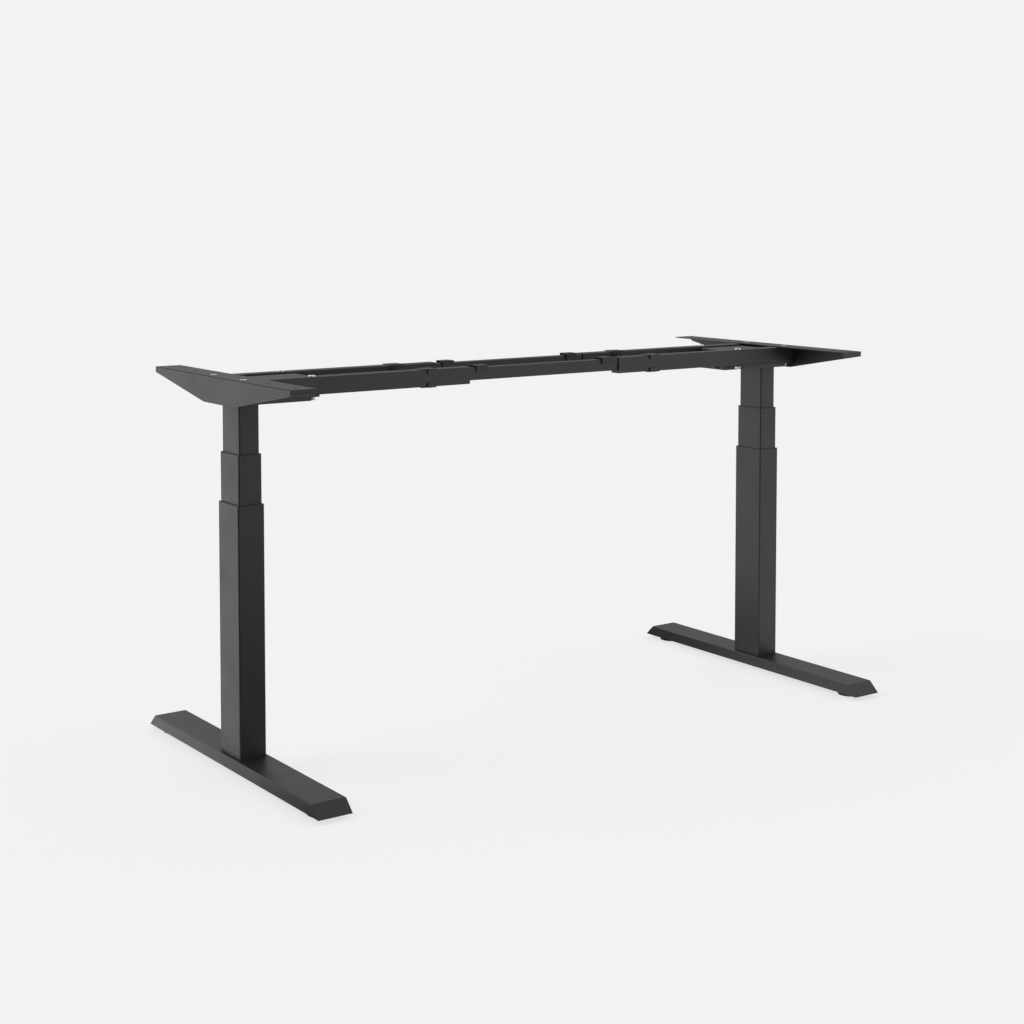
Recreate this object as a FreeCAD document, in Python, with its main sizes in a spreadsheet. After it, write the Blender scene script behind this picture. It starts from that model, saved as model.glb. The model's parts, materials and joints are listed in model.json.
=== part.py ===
"""Height-adjustable desk frame: two three-stage lifting columns on steel feet, joined by two
telescopic rail pairs, with a folded side bracket over each column to carry a desk top.

Millimetres, +Z up. The origin is on the floor, midway between the columns. X runs along the
desk, the left leg stands at -X and the user sits at -Y. Every leg piece is drawn about its own
column's centreline with its outer side at -X; the right leg's copy is turned half round.
"""
import FreeCAD, Part
import Sketcher
import math
import os
import re

V = FreeCAD.Vector
ABOUT_Z = V(0, 0, 1)
LAY_ALONG_X = FreeCAD.Rotation(V(0, 1, 0), 90)
LAY_ALONG_Y = FreeCAD.Rotation(V(1, 0, 0), -90)

# Driving sizes. Each becomes one cell of the sheet, and everything else is worked out from them.
SIZES = {
    # overall
    "leg_spacing": (1296, "between the column centrelines"),
    "slide_fit": (0.35, "clearance between pieces that slide or turn on each other"),
    "bolt_fit": (0.3, "radial clearance of a bolt in its hole"),
    # feet
    "pad_height": (8, "floor to the foot's lower edge, with the levelling pads screwed in"),
    "pad_radius": (25, "levelling pad"),
    "pad_disc": (5, "thickness of the levelling pad"),
    "pad_spread": (590, "between the two levelling pads of a foot"),
    "stud_radius": (4, "levelling stud"),
    "stud_room": (2.1, "levelling stud's end below the foot's top sheet"),
    "stud_boss_wall": (4, "wall of the threaded boss in the foot"),
    "stud_boss_length": (13, "threaded boss below the foot's top sheet"),
    "foot_length": (692, "along the floor"),
    "foot_end_slope": (24, "run of the slanted end"),
    "foot_width": (67.5, "foot across"),
    "foot_height": (22.6, "lower edge to top"),
    "foot_sheet": (2.5, "sheet of the folded foot"),
    "foot_bend": (2.2, "outer bend radius of the foot"),
    # columns
    "column_width": (54, "lower tube along X"),
    "column_depth": (81, "lower tube along Y"),
    "tube_wall": (1.5, "wall of all three tubes"),
    "tube_corner": (3, "outer corner radius of the tubes"),
    "gap_width": (1.75, "gap between one tube and the next, along X"),
    "gap_depth": (1.5, "gap between one tube and the next, along Y"),
    "lower_length": (470.5, "lower tube"),
    "middle_shorter": (8.5, "middle tube shorter than the lower one"),
    "upper_shorter": (10.5, "upper tube shorter than the middle one"),
    "middle_shown": (92.5, "middle tube standing out of the lower one"),
    "upper_shown": (102.9, "upper tube between the middle one and the head plate"),
    "end_plate": (5, "plate welded in the foot of the lower and middle tubes"),
    "glide_depth": (50, "plastic glide down inside a tube mouth"),
    "glide_lip": (1.2, "glide standing above the tube mouth"),
    "glide_inset": (0.8, "glide lip inside the tube's outer face"),
    "shoe_height": (45, "plastic shoe round the lower end of a tube"),
    "shoe_lift": (5, "shoe above the tube's lower end"),
    "sight_hole": (1.6, "radius of the small hole near the middle tube's top"),
    "sight_drop": (9, "sight hole below the middle tube's top"),
    "sight_offset": (14, "sight hole off the column centreline"),
    "base_bolt_inset_x": (12, "column bolts inside the lower tube's face, along X"),
    "base_bolt_inset_y": (13.5, "column bolts inside the lower tube's face, along Y"),
    "base_bolt_radius": (3, "column bolt shank"),
    "base_bolt_head": (5.2, "column bolt head radius"),
    "base_head_height": (4, "column bolt head"),
    # lifting screw
    "post_radius": (7, "fixed threaded post"),
    "post_drop": (110.5, "top of the post below the lower tube's top"),
    "flange_room": (7.5, "flange of the post inside the lower tube's bore"),
    "post_flange_height": (5, "flange at the foot of the post"),
    "spindle_radius": (10, "turning spindle"),
    "post_room": (0.8, "spindle's bore clear of the post"),
    "spindle_drop": (32, "top of the spindle below the middle tube's top"),
    "spindle_nut_length": (20, "threaded stretch at the spindle's lower end"),
    "spindle_cap": (10, "cap with the hexagonal hole at the spindle's top"),
    "bearing_room": (5.25, "thrust bearing inside the middle tube's bore"),
    "bearing_height": (8, "thrust bearing"),
    "shoulder_inset": (2, "spindle shoulder inside the bearing's edge"),
    "shoulder_height": (4, "spindle shoulder on the bearing"),
    "nut_room": (2, "spindle nut inside the upper tube's bore"),
    "nut_height": (30, "nut in the upper tube's lower end"),
    "nut_flange": (5, "flange of that nut under the upper tube"),
    "shaft_corner": (4.04, "hexagonal drive shaft, centre to corner"),
    "shaft_room": (0.86, "post's bore clear of the drive shaft"),
    "shaft_lift": (55.5, "lower end of the shaft above the upper tube's lower end"),
    "journal_step": (0.96, "round journal of the shaft beyond its corners"),
    "journal_length": (22, "round journal of the shaft in the gearbox"),
    # head
    "rail_spread": (122, "between the front and back rail centrelines"),
    "rail_width": (25, "outer rail across"),
    "rail_height": (33.5, "outer rail"),
    "rail_wall": (2, "wall of the outer rails"),
    "rail_corner": (2, "outer corner radius of the rails"),
    "bore_corner": (0.3, "corner radius inside the rails"),
    "rail_reach": (461, "column centreline to the mouth of the outer rail"),
    "bracket_offset": (44.7, "column centreline to the outer face of the side bracket"),
    "bracket_sheet": (2, "sheet of the side bracket"),
    "web_gap": (0.2, "rails and head plate clear of the side bracket's web"),
    "bracket_bend": (1.6, "outer bend radius of the side bracket"),
    "bracket_flange": (52, "top flange across"),
    "bracket_length": (550, "side bracket along Y"),
    "bracket_tip": (10.8, "height of the side bracket at its ends"),
    "bracket_depth": (49.8, "height of the side bracket at its middle"),
    "bracket_flat": (123, "level stretch of the bracket's lower edge"),
    "top_hole": (3.3, "radius of the desk top's screw holes"),
    "top_hole_inset": (24, "desk top's screw holes inside the bracket's outer face"),
    "top_hole_far": (500, "between the outer pair of screw holes, along Y"),
    "top_hole_near": (300, "between the inner pair of screw holes, along Y"),
    "plate_sheet": (4, "head plate"),
    "plate_reach": (125.5, "column centreline to the inner end of the head plate"),
    "plate_flange": (2.5, "thickness of the head plate's side flanges"),
    "plate_flange_drop": (6.5, "side flanges below the head plate"),
    "bolt_radius": (4, "head bolt shank"),
    "bolt_head": (7, "head bolt, radius of its flat head"),
    "bolt_nut": (6.4, "head bolt's nut, centre to corner"),
    "bolt_nut_height": (5, "head bolt's nut"),
    "bolt_out": (24, "outer head bolts outside the column centreline"),
    "bolt_in": (116, "inner head bolts inside the column centreline"),
    "bolt_room": (8, "head plate flange ends this far short of the bolts"),
    # drive
    "cover_half": (39.5, "motor cover, half its width"),
    "cover_sheet": (1.6, "wall of the motor cover"),
    "cover_dip": (3.4, "top of the motor cover below the rails' top"),
    "cover_room": (1.85, "motor and gearbox to the cover's inside"),
    "cover_outer": (38, "motor cover outside the column centreline"),
    "cover_step": (2.5, "gearbox to where the cover drops below the head plate"),
    "cover_reach": (135, "column centreline to the cover's inner end"),
    "cover_corner": (1.2, "edge radius of the motor cover"),
    "socket_width": (17, "motor lead socket"),
    "socket_height": (4, "motor lead socket"),
    "socket_offset": (15.5, "motor lead socket off the cover's middle"),
    "socket_lift": (3.6, "motor lead socket above the cover's underside"),
    "gearbox_outer": (24, "gearbox outside the column centreline"),
    "gearbox_reach": (26, "gearbox inside the column centreline"),
    "gearbox_room": (4.4, "gearbox to the cover's side"),
    "motor_radius": (18.5, "motor can"),
    "motor_gap": (6, "gearbox to the motor can"),
    "motor_end": (10, "motor can short of the cover's inner end"),
    "motor_cap": (4, "bearing cap at the motor's far end"),
    "motor_neck": (6.5, "radius of the motor's nose in the gearbox"),
    # telescopic rails
    "guide_floor": (4, "rail guide under the centre rail"),
    "inner_rail_wall": (1.8, "wall of the centre rails"),
    "rail_overlap": (218, "centre rail inside each outer rail"),
    "cheek": (0.9, "side walls of the rail guide"),
    "guide_length": (91, "rail guide inside the outer rail"),
    "saddle_gap": (16, "rail mouth to the guide's saddle"),
    "saddle_length": (28, "saddle over the centre rail"),
    "saddle_wall": (2.6, "side walls of the saddle"),
    "saddle_drop": (9, "saddle down the centre rail's sides"),
    "saddle_slot": (1.4, "slot across the saddle"),
    "saddle_slot_depth": (2, "slot across the saddle"),
    "clamp_near": (78, "rail mouth to the clamp"),
    "clamp_length": (33, "clamp along the rail"),
    "clamp_wall": (1.5, "clamp wall round the outer rail"),
    "clamp_proud": (2.6, "clamp's hooks off the rail's outer face"),
    "clamp_wrap": (8, "clamp's hooks down and up the rail's outer face"),
    "clamp_hook": (16, "clamp's hooks over the rail's outer face, along the rail"),
    "clamp_hook_place": (12, "hooks from the clamp's end nearer the column"),
    "clamp_boss": (12, "clamp boss off the rail's inner face"),
    "clamp_boss_length": (20, "clamp boss along the rail"),
    "clamp_boss_height": (18, "clamp boss"),
    "knob_radius": (7, "clamp screw's knurled head"),
    "knob_height": (6, "clamp screw's knurled head"),
    "screw_radius": (3, "clamp screw"),
}

# Places and sizes that several pieces share, from the floor up.
FOOT_TOP = "(pad_height + foot_height)"
PLATE_TOP = f"({FOOT_TOP} + end_plate)"
LOWER_TOP = f"({FOOT_TOP} + lower_length)"
MIDDLE_LENGTH = "(lower_length - middle_shorter)"
MIDDLE_TOP = f"({LOWER_TOP} + middle_shown)"
MIDDLE_LOW = f"({MIDDLE_TOP} - {MIDDLE_LENGTH})"
MIDDLE_FLOOR = f"({MIDDLE_LOW} + end_plate)"
UPPER_LENGTH = f"({MIDDLE_LENGTH} - upper_shorter)"
HEAD_LOW = f"({MIDDLE_TOP} + upper_shown)"
UPPER_LOW = f"({HEAD_LOW} - {UPPER_LENGTH})"
RAIL_LOW = f"({HEAD_LOW} + plate_sheet)"
RAIL_TOP = f"({RAIL_LOW} + rail_height)"
FRAME_TOP = f"({RAIL_TOP} + bracket_sheet)"
MIDDLE_WIDTH = "(column_width - 2 * tube_wall - 2 * gap_width)"
MIDDLE_DEPTH = "(column_depth - 2 * tube_wall - 2 * gap_depth)"
UPPER_WIDTH = f"({MIDDLE_WIDTH} - 2 * tube_wall - 2 * gap_width)"
UPPER_DEPTH = f"({MIDDLE_DEPTH} - 2 * tube_wall - 2 * gap_depth)"
POST_LENGTH = f"({LOWER_TOP} - post_drop - {FOOT_TOP})"
SPINDLE_LENGTH = f"({MIDDLE_LENGTH} - spindle_drop)"
BEARING_TOP = f"({MIDDLE_FLOOR} + bearing_height)"
BEARING_RADIUS = f"({MIDDLE_WIDTH} / 2 - tube_wall - bearing_room)"
SHAFT_LOW = f"({UPPER_LOW} + shaft_lift)"
JOURNAL_RADIUS = "(shaft_corner + journal_step)"
RAIL_START = "(bracket_offset - bracket_sheet - web_gap)"
HEAD_HALF = "((rail_spread + rail_width) / 2)"
COVER_TOP = f"({RAIL_TOP} - cover_dip)"
COVER_HEIGHT = "(2 * (motor_radius + cover_room + cover_sheet))"
COVER_LOW = f"({COVER_TOP} - {COVER_HEIGHT})"
COVER_STEP = "(gearbox_reach + cover_step)"
MOTOR_AXIS = f"({COVER_TOP} - {COVER_HEIGHT} / 2)"
MOTOR_START = "(gearbox_reach + motor_gap)"
GEARBOX_HALF = "(cover_half - cover_sheet - gearbox_room)"
INNER_RAIL_WIDTH = "(rail_width - 2 * rail_wall - 2 * cheek - 2 * slide_fit)"
INNER_RAIL_HEIGHT = "(rail_height - 2 * rail_wall - guide_floor - 2 * slide_fit)"
INNER_RAIL_LENGTH = "(leg_spacing - 2 * rail_reach + 2 * rail_overlap)"
INNER_RAIL_TOP = f"({RAIL_TOP} - rail_wall - slide_fit)"
INNER_RAIL_LOW = f"({INNER_RAIL_TOP} - {INNER_RAIL_HEIGHT})"
RAIL_MIDDLE = f"({RAIL_TOP} - rail_height / 2)"
CLAMP_START = "(rail_reach - clamp_near - clamp_length)"
CLAMP_MIDDLE = f"({CLAMP_START} + clamp_length / 2)"

SIDES = ("left", "right")
ENDS = ("front", "back")

doc = FreeCAD.newDocument("desk_frame")
sheet = doc.addObject("Spreadsheet::Sheet", "Sizes")
nodes = []


def fill_sheet():
    for row, (alias, (value, note)) in enumerate(SIZES.items(), start=1):
        sheet.set(f"A{row}", note)
        sheet.set(f"B{row}", str(value))
        sheet.setAlias(f"B{row}", alias)
    doc.recompute()


def bound(text):
    """An expression on the sheet's cells, written with the plain names of SIZES."""
    return re.sub(r"[a-z_]+", lambda word: "Sizes." + word[0] if word[0] in SIZES else word[0], text)


def place(item, point):
    for axis, text in zip("xyz", point):
        item.setExpression(f"Placement.Base.{axis}", bound(text))


def seat(item, side, node):
    """Name a leg piece as a node and stand it at its leg; the right leg's is turned half round."""
    turned = side == "right"
    item.Label = node
    item.Placement = FreeCAD.Placement(V(), FreeCAD.Rotation(ABOUT_Z, 180 if turned else 0))
    item.setExpression("Placement.Base.x", bound("leg_spacing / 2" if turned else "-leg_spacing / 2"))
    nodes.append(item)


def inward(side, end):
    """The sign along Y, in the leg's own frame, of the piece at the desk's front or back."""
    return {"front": -1, "back": 1}[end] * (-1 if side == "right" else 1)


# Part primitives and booleans --------------------------------------------------------------

def block(name, low, lengths):
    item = doc.addObject("Part::Box", name)
    for size, text in zip(("Length", "Width", "Height"), lengths):
        item.setExpression(size, bound(text))
    place(item, low)
    return item


def rod(name, base, radius, length, turn=None):
    item = doc.addObject("Part::Cylinder", name)
    item.setExpression("Radius", bound(radius))
    item.setExpression("Height", bound(length))
    if turn:
        item.Placement.Rotation = turn
    place(item, base)
    return item


def hexagon(name, base, corner, length):
    item = doc.addObject("Part::Prism", name)
    item.Polygon = 6
    item.setExpression("Circumradius", bound(corner))
    item.setExpression("Height", bound(length))
    place(item, base)
    return item


def joined(name, pieces):
    item = doc.addObject("Part::MultiFuse", name)
    item.Shapes = pieces
    item.Refine = True
    return item


def cut(name, base, tools):
    item = doc.addObject("Part::Cut", name)
    item.Base = base
    item.Tool = tools[0] if len(tools) == 1 else joined(name + "_tools", tools)
    item.Refine = True
    return item


def group(name, pieces):
    item = doc.addObject("Part::Compound", name)
    item.Links = pieces
    return item


# PartDesign bodies -------------------------------------------------------------------------

def sketch(body, name, role, offset):
    plane = next(item for item in body.Origin.OriginFeatures if item.Role == role)
    item = body.newObject("Sketcher::SketchObject", name)
    item.AttachmentSupport = [(plane, "")]
    item.MapMode = "FlatFace"
    item.setExpression("AttachmentOffset.Base.z", bound(offset))
    return item


def outline(drawing, corners):
    """A closed polygon whose corners are tied to the sheet; it starts as a small regular one."""
    count = len(corners)
    first = drawing.GeometryCount
    starts = [V(math.cos(2 * math.pi * n / count), math.sin(2 * math.pi * n / count), 0) * 10
              for n in range(count)]
    for n in range(count):
        drawing.addGeometry(Part.LineSegment(starts[n], starts[(n + 1) % count]))
    for n in range(count):
        following = first + (n + 1) % count
        drawing.addConstraint(Sketcher.Constraint("Coincident", first + n, 2, following, 1))
    for n, (across, up) in enumerate(corners):
        for kind, text, start in (("DistanceX", across, starts[n].x), ("DistanceY", up, starts[n].y)):
            index = drawing.addConstraint(Sketcher.Constraint(kind, first + n, 1, start))
            drawing.setExpression(f"Constraints[{index}]", bound(text))


def rectangle(drawing, low, high):
    outline(drawing, [low, (high[0], low[1]), high, (low[0], high[1])])


def circle(drawing, centre, radius):
    index = drawing.addGeometry(Part.Circle(V(0, 0, 0), ABOUT_Z, 5))
    for kind, text in (("DistanceX", centre[0]), ("DistanceY", centre[1])):
        tie = drawing.addConstraint(Sketcher.Constraint(kind, index, 3, 0.0))
        drawing.setExpression(f"Constraints[{tie}]", bound(text))
    tie = drawing.addConstraint(Sketcher.Constraint("Radius", index, 5))
    drawing.setExpression(f"Constraints[{tie}]", bound(radius))


def raised(body, drawing, length, kind="PartDesign::Pad", reverse=False):
    item = body.newObject(kind, drawing.Name + "_" + kind[12:].lower())
    item.Profile = drawing
    item.Reversed = reverse
    item.setExpression("Length", bound(length))
    drawing.Visibility = False
    return item


def rounded(body, name, radius, wanted):
    """Fillet the edges of the body's last feature that pass the wanted test."""
    doc.recompute()
    base = body.Tip
    picked = [f"Edge{n}" for n, edge in enumerate(base.Shape.Edges, start=1) if wanted(edge)]
    item = body.newObject("PartDesign::Fillet", name)
    item.Base = (base, picked)
    item.setExpression("Radius", bound(radius))
    return item


def runs_along(edge, axis):
    """True for a straight edge parallel to the axis."""
    straight = edge.Curve.TypeId == "Part::GeomLine"
    return straight and abs(edge.tangentAt(edge.FirstParameter) * axis) > 0.999


def on_box(edge, box):
    """How many faces of the bounding box the middle of the edge lies on."""
    spot = edge.CenterOfMass
    near = ((spot.x, box.XMin, box.XMax), (spot.y, box.YMin, box.YMax), (spot.z, box.ZMin, box.ZMax))
    return sum(min(abs(at - low), abs(at - high)) < 0.001 for at, low, high in near)


def box_tube(name, role, start, length, centre, outer, inner, corners):
    """A rectangular tube: outer and inner are its section, corners the two corner radii."""
    body = doc.addObject("PartDesign::Body", name)
    drawing = sketch(body, name + "_section", role, start)
    for size in (outer, inner):
        rectangle(drawing, [f"{middle} - ({whole}) / 2" for middle, whole in zip(centre, size)],
                  [f"{middle} + ({whole}) / 2" for middle, whole in zip(centre, size)])
    raised(body, drawing, length)
    doc.recompute()
    axis = V(0, 0, 1) if role == "XY_Plane" else V(1, 0, 0)
    box = body.Tip.Shape.BoundBox
    for part, radius, faces in (("outer", corners[0], 2), ("inner", corners[1], 0)):
        rounded(body, f"{name}_{part}_corners", radius,
                lambda edge: runs_along(edge, axis) and on_box(edge, box) == faces)
    return body


fill_sheet()


# Feet --------------------------------------------------------------------------------------

def foot(side):
    """Folded channel, open below, with slanted closed ends and a boss for each levelling stud."""
    name = f"{side}_foot"
    body = doc.addObject("PartDesign::Body", name)
    skin = sketch(body, name + "_outline", "YZ_Plane", "-foot_width / 2")
    outline(skin, [("-foot_length / 2", "pad_height"), ("foot_length / 2", "pad_height"),
                   ("foot_length / 2 - foot_end_slope", FOOT_TOP),
                   ("foot_end_slope - foot_length / 2", FOOT_TOP)])
    raised(body, skin, "foot_width")
    doc.recompute()
    box = body.Tip.Shape.BoundBox
    rounded(body, name + "_bends", "foot_bend",
            lambda edge: runs_along(edge, V(0, 1, 0)) and abs(edge.CenterOfMass.z - box.ZMax) < 0.001)
    slant = "sqrt(foot_end_slope * foot_end_slope + foot_height * foot_height)"
    end = f"(foot_length / 2 - foot_sheet * {slant} / foot_height)"
    rise = "(foot_height - foot_sheet)"
    run = f"(foot_end_slope * {rise} / foot_height)"
    hollow = sketch(body, name + "_hollow", "YZ_Plane", "foot_sheet - foot_width / 2")
    outline(hollow, [(f"-{end}", "pad_height"), (end, "pad_height"),
                     (f"{end} - {run}", f"pad_height + {rise}"),
                     (f"{run} - {end}", f"pad_height + {rise}")])
    raised(body, hollow, "foot_width - 2 * foot_sheet", "PartDesign::Pocket", reverse=True)
    bosses = sketch(body, name + "_bosses", "XY_Plane", f"{FOOT_TOP} - foot_sheet - stud_boss_length")
    for sign in ("-", ""):
        circle(bosses, ("0", f"{sign}pad_spread / 2"), "stud_radius + stud_boss_wall")
    raised(body, bosses, "stud_boss_length")
    threads = sketch(body, name + "_threads", "XY_Plane", f"{FOOT_TOP} - foot_sheet")
    for sign in ("-", ""):
        circle(threads, ("0", f"{sign}pad_spread / 2"), "stud_radius + bolt_fit")
    raised(body, threads, "stud_boss_length", "PartDesign::Pocket")
    holes = sketch(body, name + "_bolt_holes", "XY_Plane", FOOT_TOP)
    for x, y in base_bolts():
        circle(holes, (x, y), "base_bolt_radius + bolt_fit")
    raised(body, holes, "foot_sheet", "PartDesign::Pocket")
    seat(body, side, name)


def base_bolts():
    across, along = "(column_width / 2 - base_bolt_inset_x)", "(column_depth / 2 - base_bolt_inset_y)"
    return [(x + across, y + along) for x in ("-", "") for y in ("-", "")]


def foot_bolts(side):
    """Four bolts up through the foot's top sheet into the plate of the lower tube."""
    bolts = []
    for number, (x, y) in enumerate(base_bolts(), start=1):
        name = f"{side}_foot_bolt_{number}"
        head = rod(name + "_head", (x, y, f"{FOOT_TOP} - foot_sheet - base_head_height"),
                   "base_bolt_head", "base_head_height")
        shank = rod(name + "_shank", (x, y, f"{FOOT_TOP} - foot_sheet - base_head_height"),
                    "base_bolt_radius", "base_head_height + foot_sheet + end_plate")
        bolts.append(joined(name, [head, shank]))
    seat(group(f"{side}_foot_bolts_all", bolts), side, f"{side}_foot_bolts")


def leveller(side, end):
    """A round pad under a stud that screws up into the foot."""
    node = f"{side}_leveller_{end}"
    y = f"{inward(side, end)} * pad_spread / 2"
    pad = rod(node + "_pad", ("0", y, "0"), "pad_radius", "pad_disc")
    neck = doc.addObject("Part::Cone", node + "_neck")
    neck.setExpression("Radius1", bound("pad_radius * 0.6"))
    neck.setExpression("Radius2", bound("stud_radius + 1"))
    neck.setExpression("Height", bound("pad_height - pad_disc"))
    place(neck, ("0", y, "pad_disc"))
    stud = rod(node + "_stud", ("0", y, "pad_disc"), "stud_radius",
               f"{FOOT_TOP} - foot_sheet - stud_room - pad_disc")
    seat(joined(node, [pad, neck, stud]), side, node)


# Columns -----------------------------------------------------------------------------------

def column_tube(name, low, length, outer, plate_hole=None):
    """One stage: a rounded tube, closed below by a welded plate where plate_hole is given."""
    inner = [f"{size} - 2 * tube_wall" for size in outer]
    body = box_tube(name, "XY_Plane", low, length, ("0", "0"), outer, inner,
                    ("tube_corner", "tube_corner - tube_wall"))
    if plate_hole:
        plate = sketch(body, name + "_plate", "XY_Plane", low)
        rectangle(plate, [f"tube_wall / 2 - {size} / 2" for size in outer],
                  [f"{size} / 2 - tube_wall / 2" for size in outer])
        raised(body, plate, "end_plate")
        hole = sketch(body, name + "_plate_hole", "XY_Plane", f"{low} + end_plate")
        circle(hole, ("0", "0"), plate_hole)
        raised(body, hole, "end_plate", "PartDesign::Pocket")
    return body


def outer_tube(side):
    name = f"{side}_lower_tube"
    body = column_tube(name, FOOT_TOP, "lower_length", ("column_width", "column_depth"),
                       "post_radius + bolt_fit")
    holes = sketch(body, name + "_bolt_holes", "XY_Plane", PLATE_TOP)
    for x, y in base_bolts():
        circle(holes, (x, y), "base_bolt_radius + bolt_fit")
    raised(body, holes, "end_plate", "PartDesign::Pocket")
    seat(body, side, name)


def mid_tube(side):
    """Middle stage, with a small sight hole near its top, front and back."""
    name = f"{side}_middle_tube"
    body = column_tube(name, MIDDLE_LOW, MIDDLE_LENGTH, (MIDDLE_WIDTH, MIDDLE_DEPTH),
                       "spindle_radius + slide_fit")
    for face, x, turned in (("front", "-sight_offset", False), ("back", "sight_offset", True)):
        hole = sketch(body, f"{name}_{face}_hole", "XZ_Plane", f"{MIDDLE_DEPTH} / 2 * {-1 if turned else 1}")
        circle(hole, (x, f"{MIDDLE_TOP} - sight_drop"), "sight_hole")
        raised(body, hole, "tube_wall", "PartDesign::Pocket", reverse=turned)
    seat(body, side, name)


def inner_tube(side):
    name = f"{side}_upper_tube"
    seat(column_tube(name, UPPER_LOW, UPPER_LENGTH, (UPPER_WIDTH, UPPER_DEPTH)), side, name)


def glide(side, stage, top, outer):
    """Plastic collar in a tube's mouth: a thin sleeve round the next stage, and a lip above it."""
    name = f"{side}_{stage}_glide"
    bore = [f"{size} - 2 * tube_wall" for size in outer]
    gaps = ("gap_width", "gap_depth")
    inner = [f"({size} - 2 * {gap} + 2 * slide_fit)" for size, gap in zip(bore, gaps)]
    body = box_tube(name, "XY_Plane", f"{top} - glide_depth", "glide_depth", ("0", "0"), bore, inner,
                    ("tube_corner - tube_wall", "tube_corner - tube_wall"))
    lip = sketch(body, name + "_lip", "XY_Plane", top)
    for size in ([f"{whole} - 2 * glide_inset" for whole in outer], inner):
        rectangle(lip, [f"-({whole}) / 2" for whole in size], [f"({whole}) / 2" for whole in size])
    raised(body, lip, "glide_lip")
    seat(body, side, name)


def shoe(side, stage, low, outer):
    """Plastic shoe round the lower end of a moving tube, sliding in the tube below it."""
    name = f"{side}_{stage}_shoe"
    gaps = ("gap_width", "gap_depth")
    reach = [f"({size} + 2 * {gap} - 2 * slide_fit)" for size, gap in zip(outer, gaps)]
    body = box_tube(name, "XY_Plane", f"{low} + shoe_lift", "shoe_height", ("0", "0"), reach, outer,
                    ("tube_corner", "tube_corner"))
    seat(body, side, name)


# Lifting screw -----------------------------------------------------------------------------

def lift_post(side):
    """Hollow threaded post standing on the plate of the lower tube."""
    name = f"{side}_lift_post"
    post = rod(name + "_post", ("0", "0", FOOT_TOP), "post_radius", POST_LENGTH)
    flange = rod(name + "_flange", ("0", "0", PLATE_TOP), "column_width / 2 - tube_wall - flange_room",
                 "post_flange_height")
    bore = rod(name + "_bore", ("0", "0", FOOT_TOP), "shaft_corner + shaft_room", POST_LENGTH)
    corners = [rod(f"{name}_clear_{n}", (x, y, PLATE_TOP), "base_bolt_head", "post_flange_height")
               for n, (x, y) in enumerate(base_bolts(), start=1)]
    seat(cut(name, joined(name + "_solid", [post, flange]), [bore] + corners), side, name)


def thrust_bearing(side):
    name = f"{side}_thrust_bearing"
    ring = rod(name + "_ring", ("0", "0", MIDDLE_FLOOR), BEARING_RADIUS, "bearing_height")
    bore = rod(name + "_bore", ("0", "0", MIDDLE_FLOOR), "spindle_radius + slide_fit", "bearing_height")
    seat(cut(name, ring, [bore]), side, name)


def spindle(side):
    """Turning sleeve: threaded inside at its foot, outside all the way, hexagonal hole on top."""
    name = f"{side}_spindle"
    sleeve = rod(name + "_sleeve", ("0", "0", MIDDLE_LOW), "spindle_radius", SPINDLE_LENGTH)
    shoulder = rod(name + "_shoulder", ("0", "0", f"{BEARING_TOP} + slide_fit"),
                   f"{BEARING_RADIUS} - shoulder_inset", "shoulder_height")
    thread = rod(name + "_thread", ("0", "0", MIDDLE_LOW), "post_radius + slide_fit", "spindle_nut_length")
    bore = rod(name + "_bore", ("0", "0", f"{MIDDLE_LOW} + spindle_nut_length"), "post_radius + post_room",
               f"{SPINDLE_LENGTH} - spindle_nut_length - spindle_cap")
    drive = hexagon(name + "_drive", ("0", "0", f"{MIDDLE_LOW} + {SPINDLE_LENGTH} - spindle_cap"),
                    "shaft_corner + 1.3 * slide_fit", "spindle_cap")
    seat(cut(name, joined(name + "_solid", [sleeve, shoulder]), [thread, bore, drive]), side, name)


def spindle_nut(side):
    """Nut in the upper tube's lower end, with a flange under the tube's edge."""
    name = f"{side}_spindle_nut"
    barrel = rod(name + "_barrel", ("0", "0", UPPER_LOW), f"{UPPER_WIDTH} / 2 - tube_wall - nut_room",
                 "nut_height")
    flange = block(name + "_flange",
                   (f"-{UPPER_WIDTH} / 2", f"-{UPPER_DEPTH} / 2", f"{UPPER_LOW} - nut_flange"),
                   (UPPER_WIDTH, UPPER_DEPTH, "nut_flange"))
    bore = rod(name + "_bore", ("0", "0", f"{UPPER_LOW} - nut_flange"), "spindle_radius + slide_fit",
               "nut_height + nut_flange")
    seat(cut(name, joined(name + "_solid", [barrel, flange]), [bore]), side, name)


def drive_shaft(side):
    """Hexagonal shaft from the gearbox down into the spindle and the post."""
    name = f"{side}_drive_shaft"
    stem = hexagon(name + "_stem", ("0", "0", SHAFT_LOW), "shaft_corner",
                   f"{RAIL_LOW} + slide_fit - {SHAFT_LOW}")
    journal = rod(name + "_journal", ("0", "0", f"{RAIL_LOW} + slide_fit"), JOURNAL_RADIUS, "journal_length")
    seat(joined(name, [stem, journal]), side, name)


# Head --------------------------------------------------------------------------------------

def head_bolt_places():
    return [(x, f"{y}rail_spread / 2") for x in ("-bolt_out", "bolt_in") for y in ("-", "")]


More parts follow.
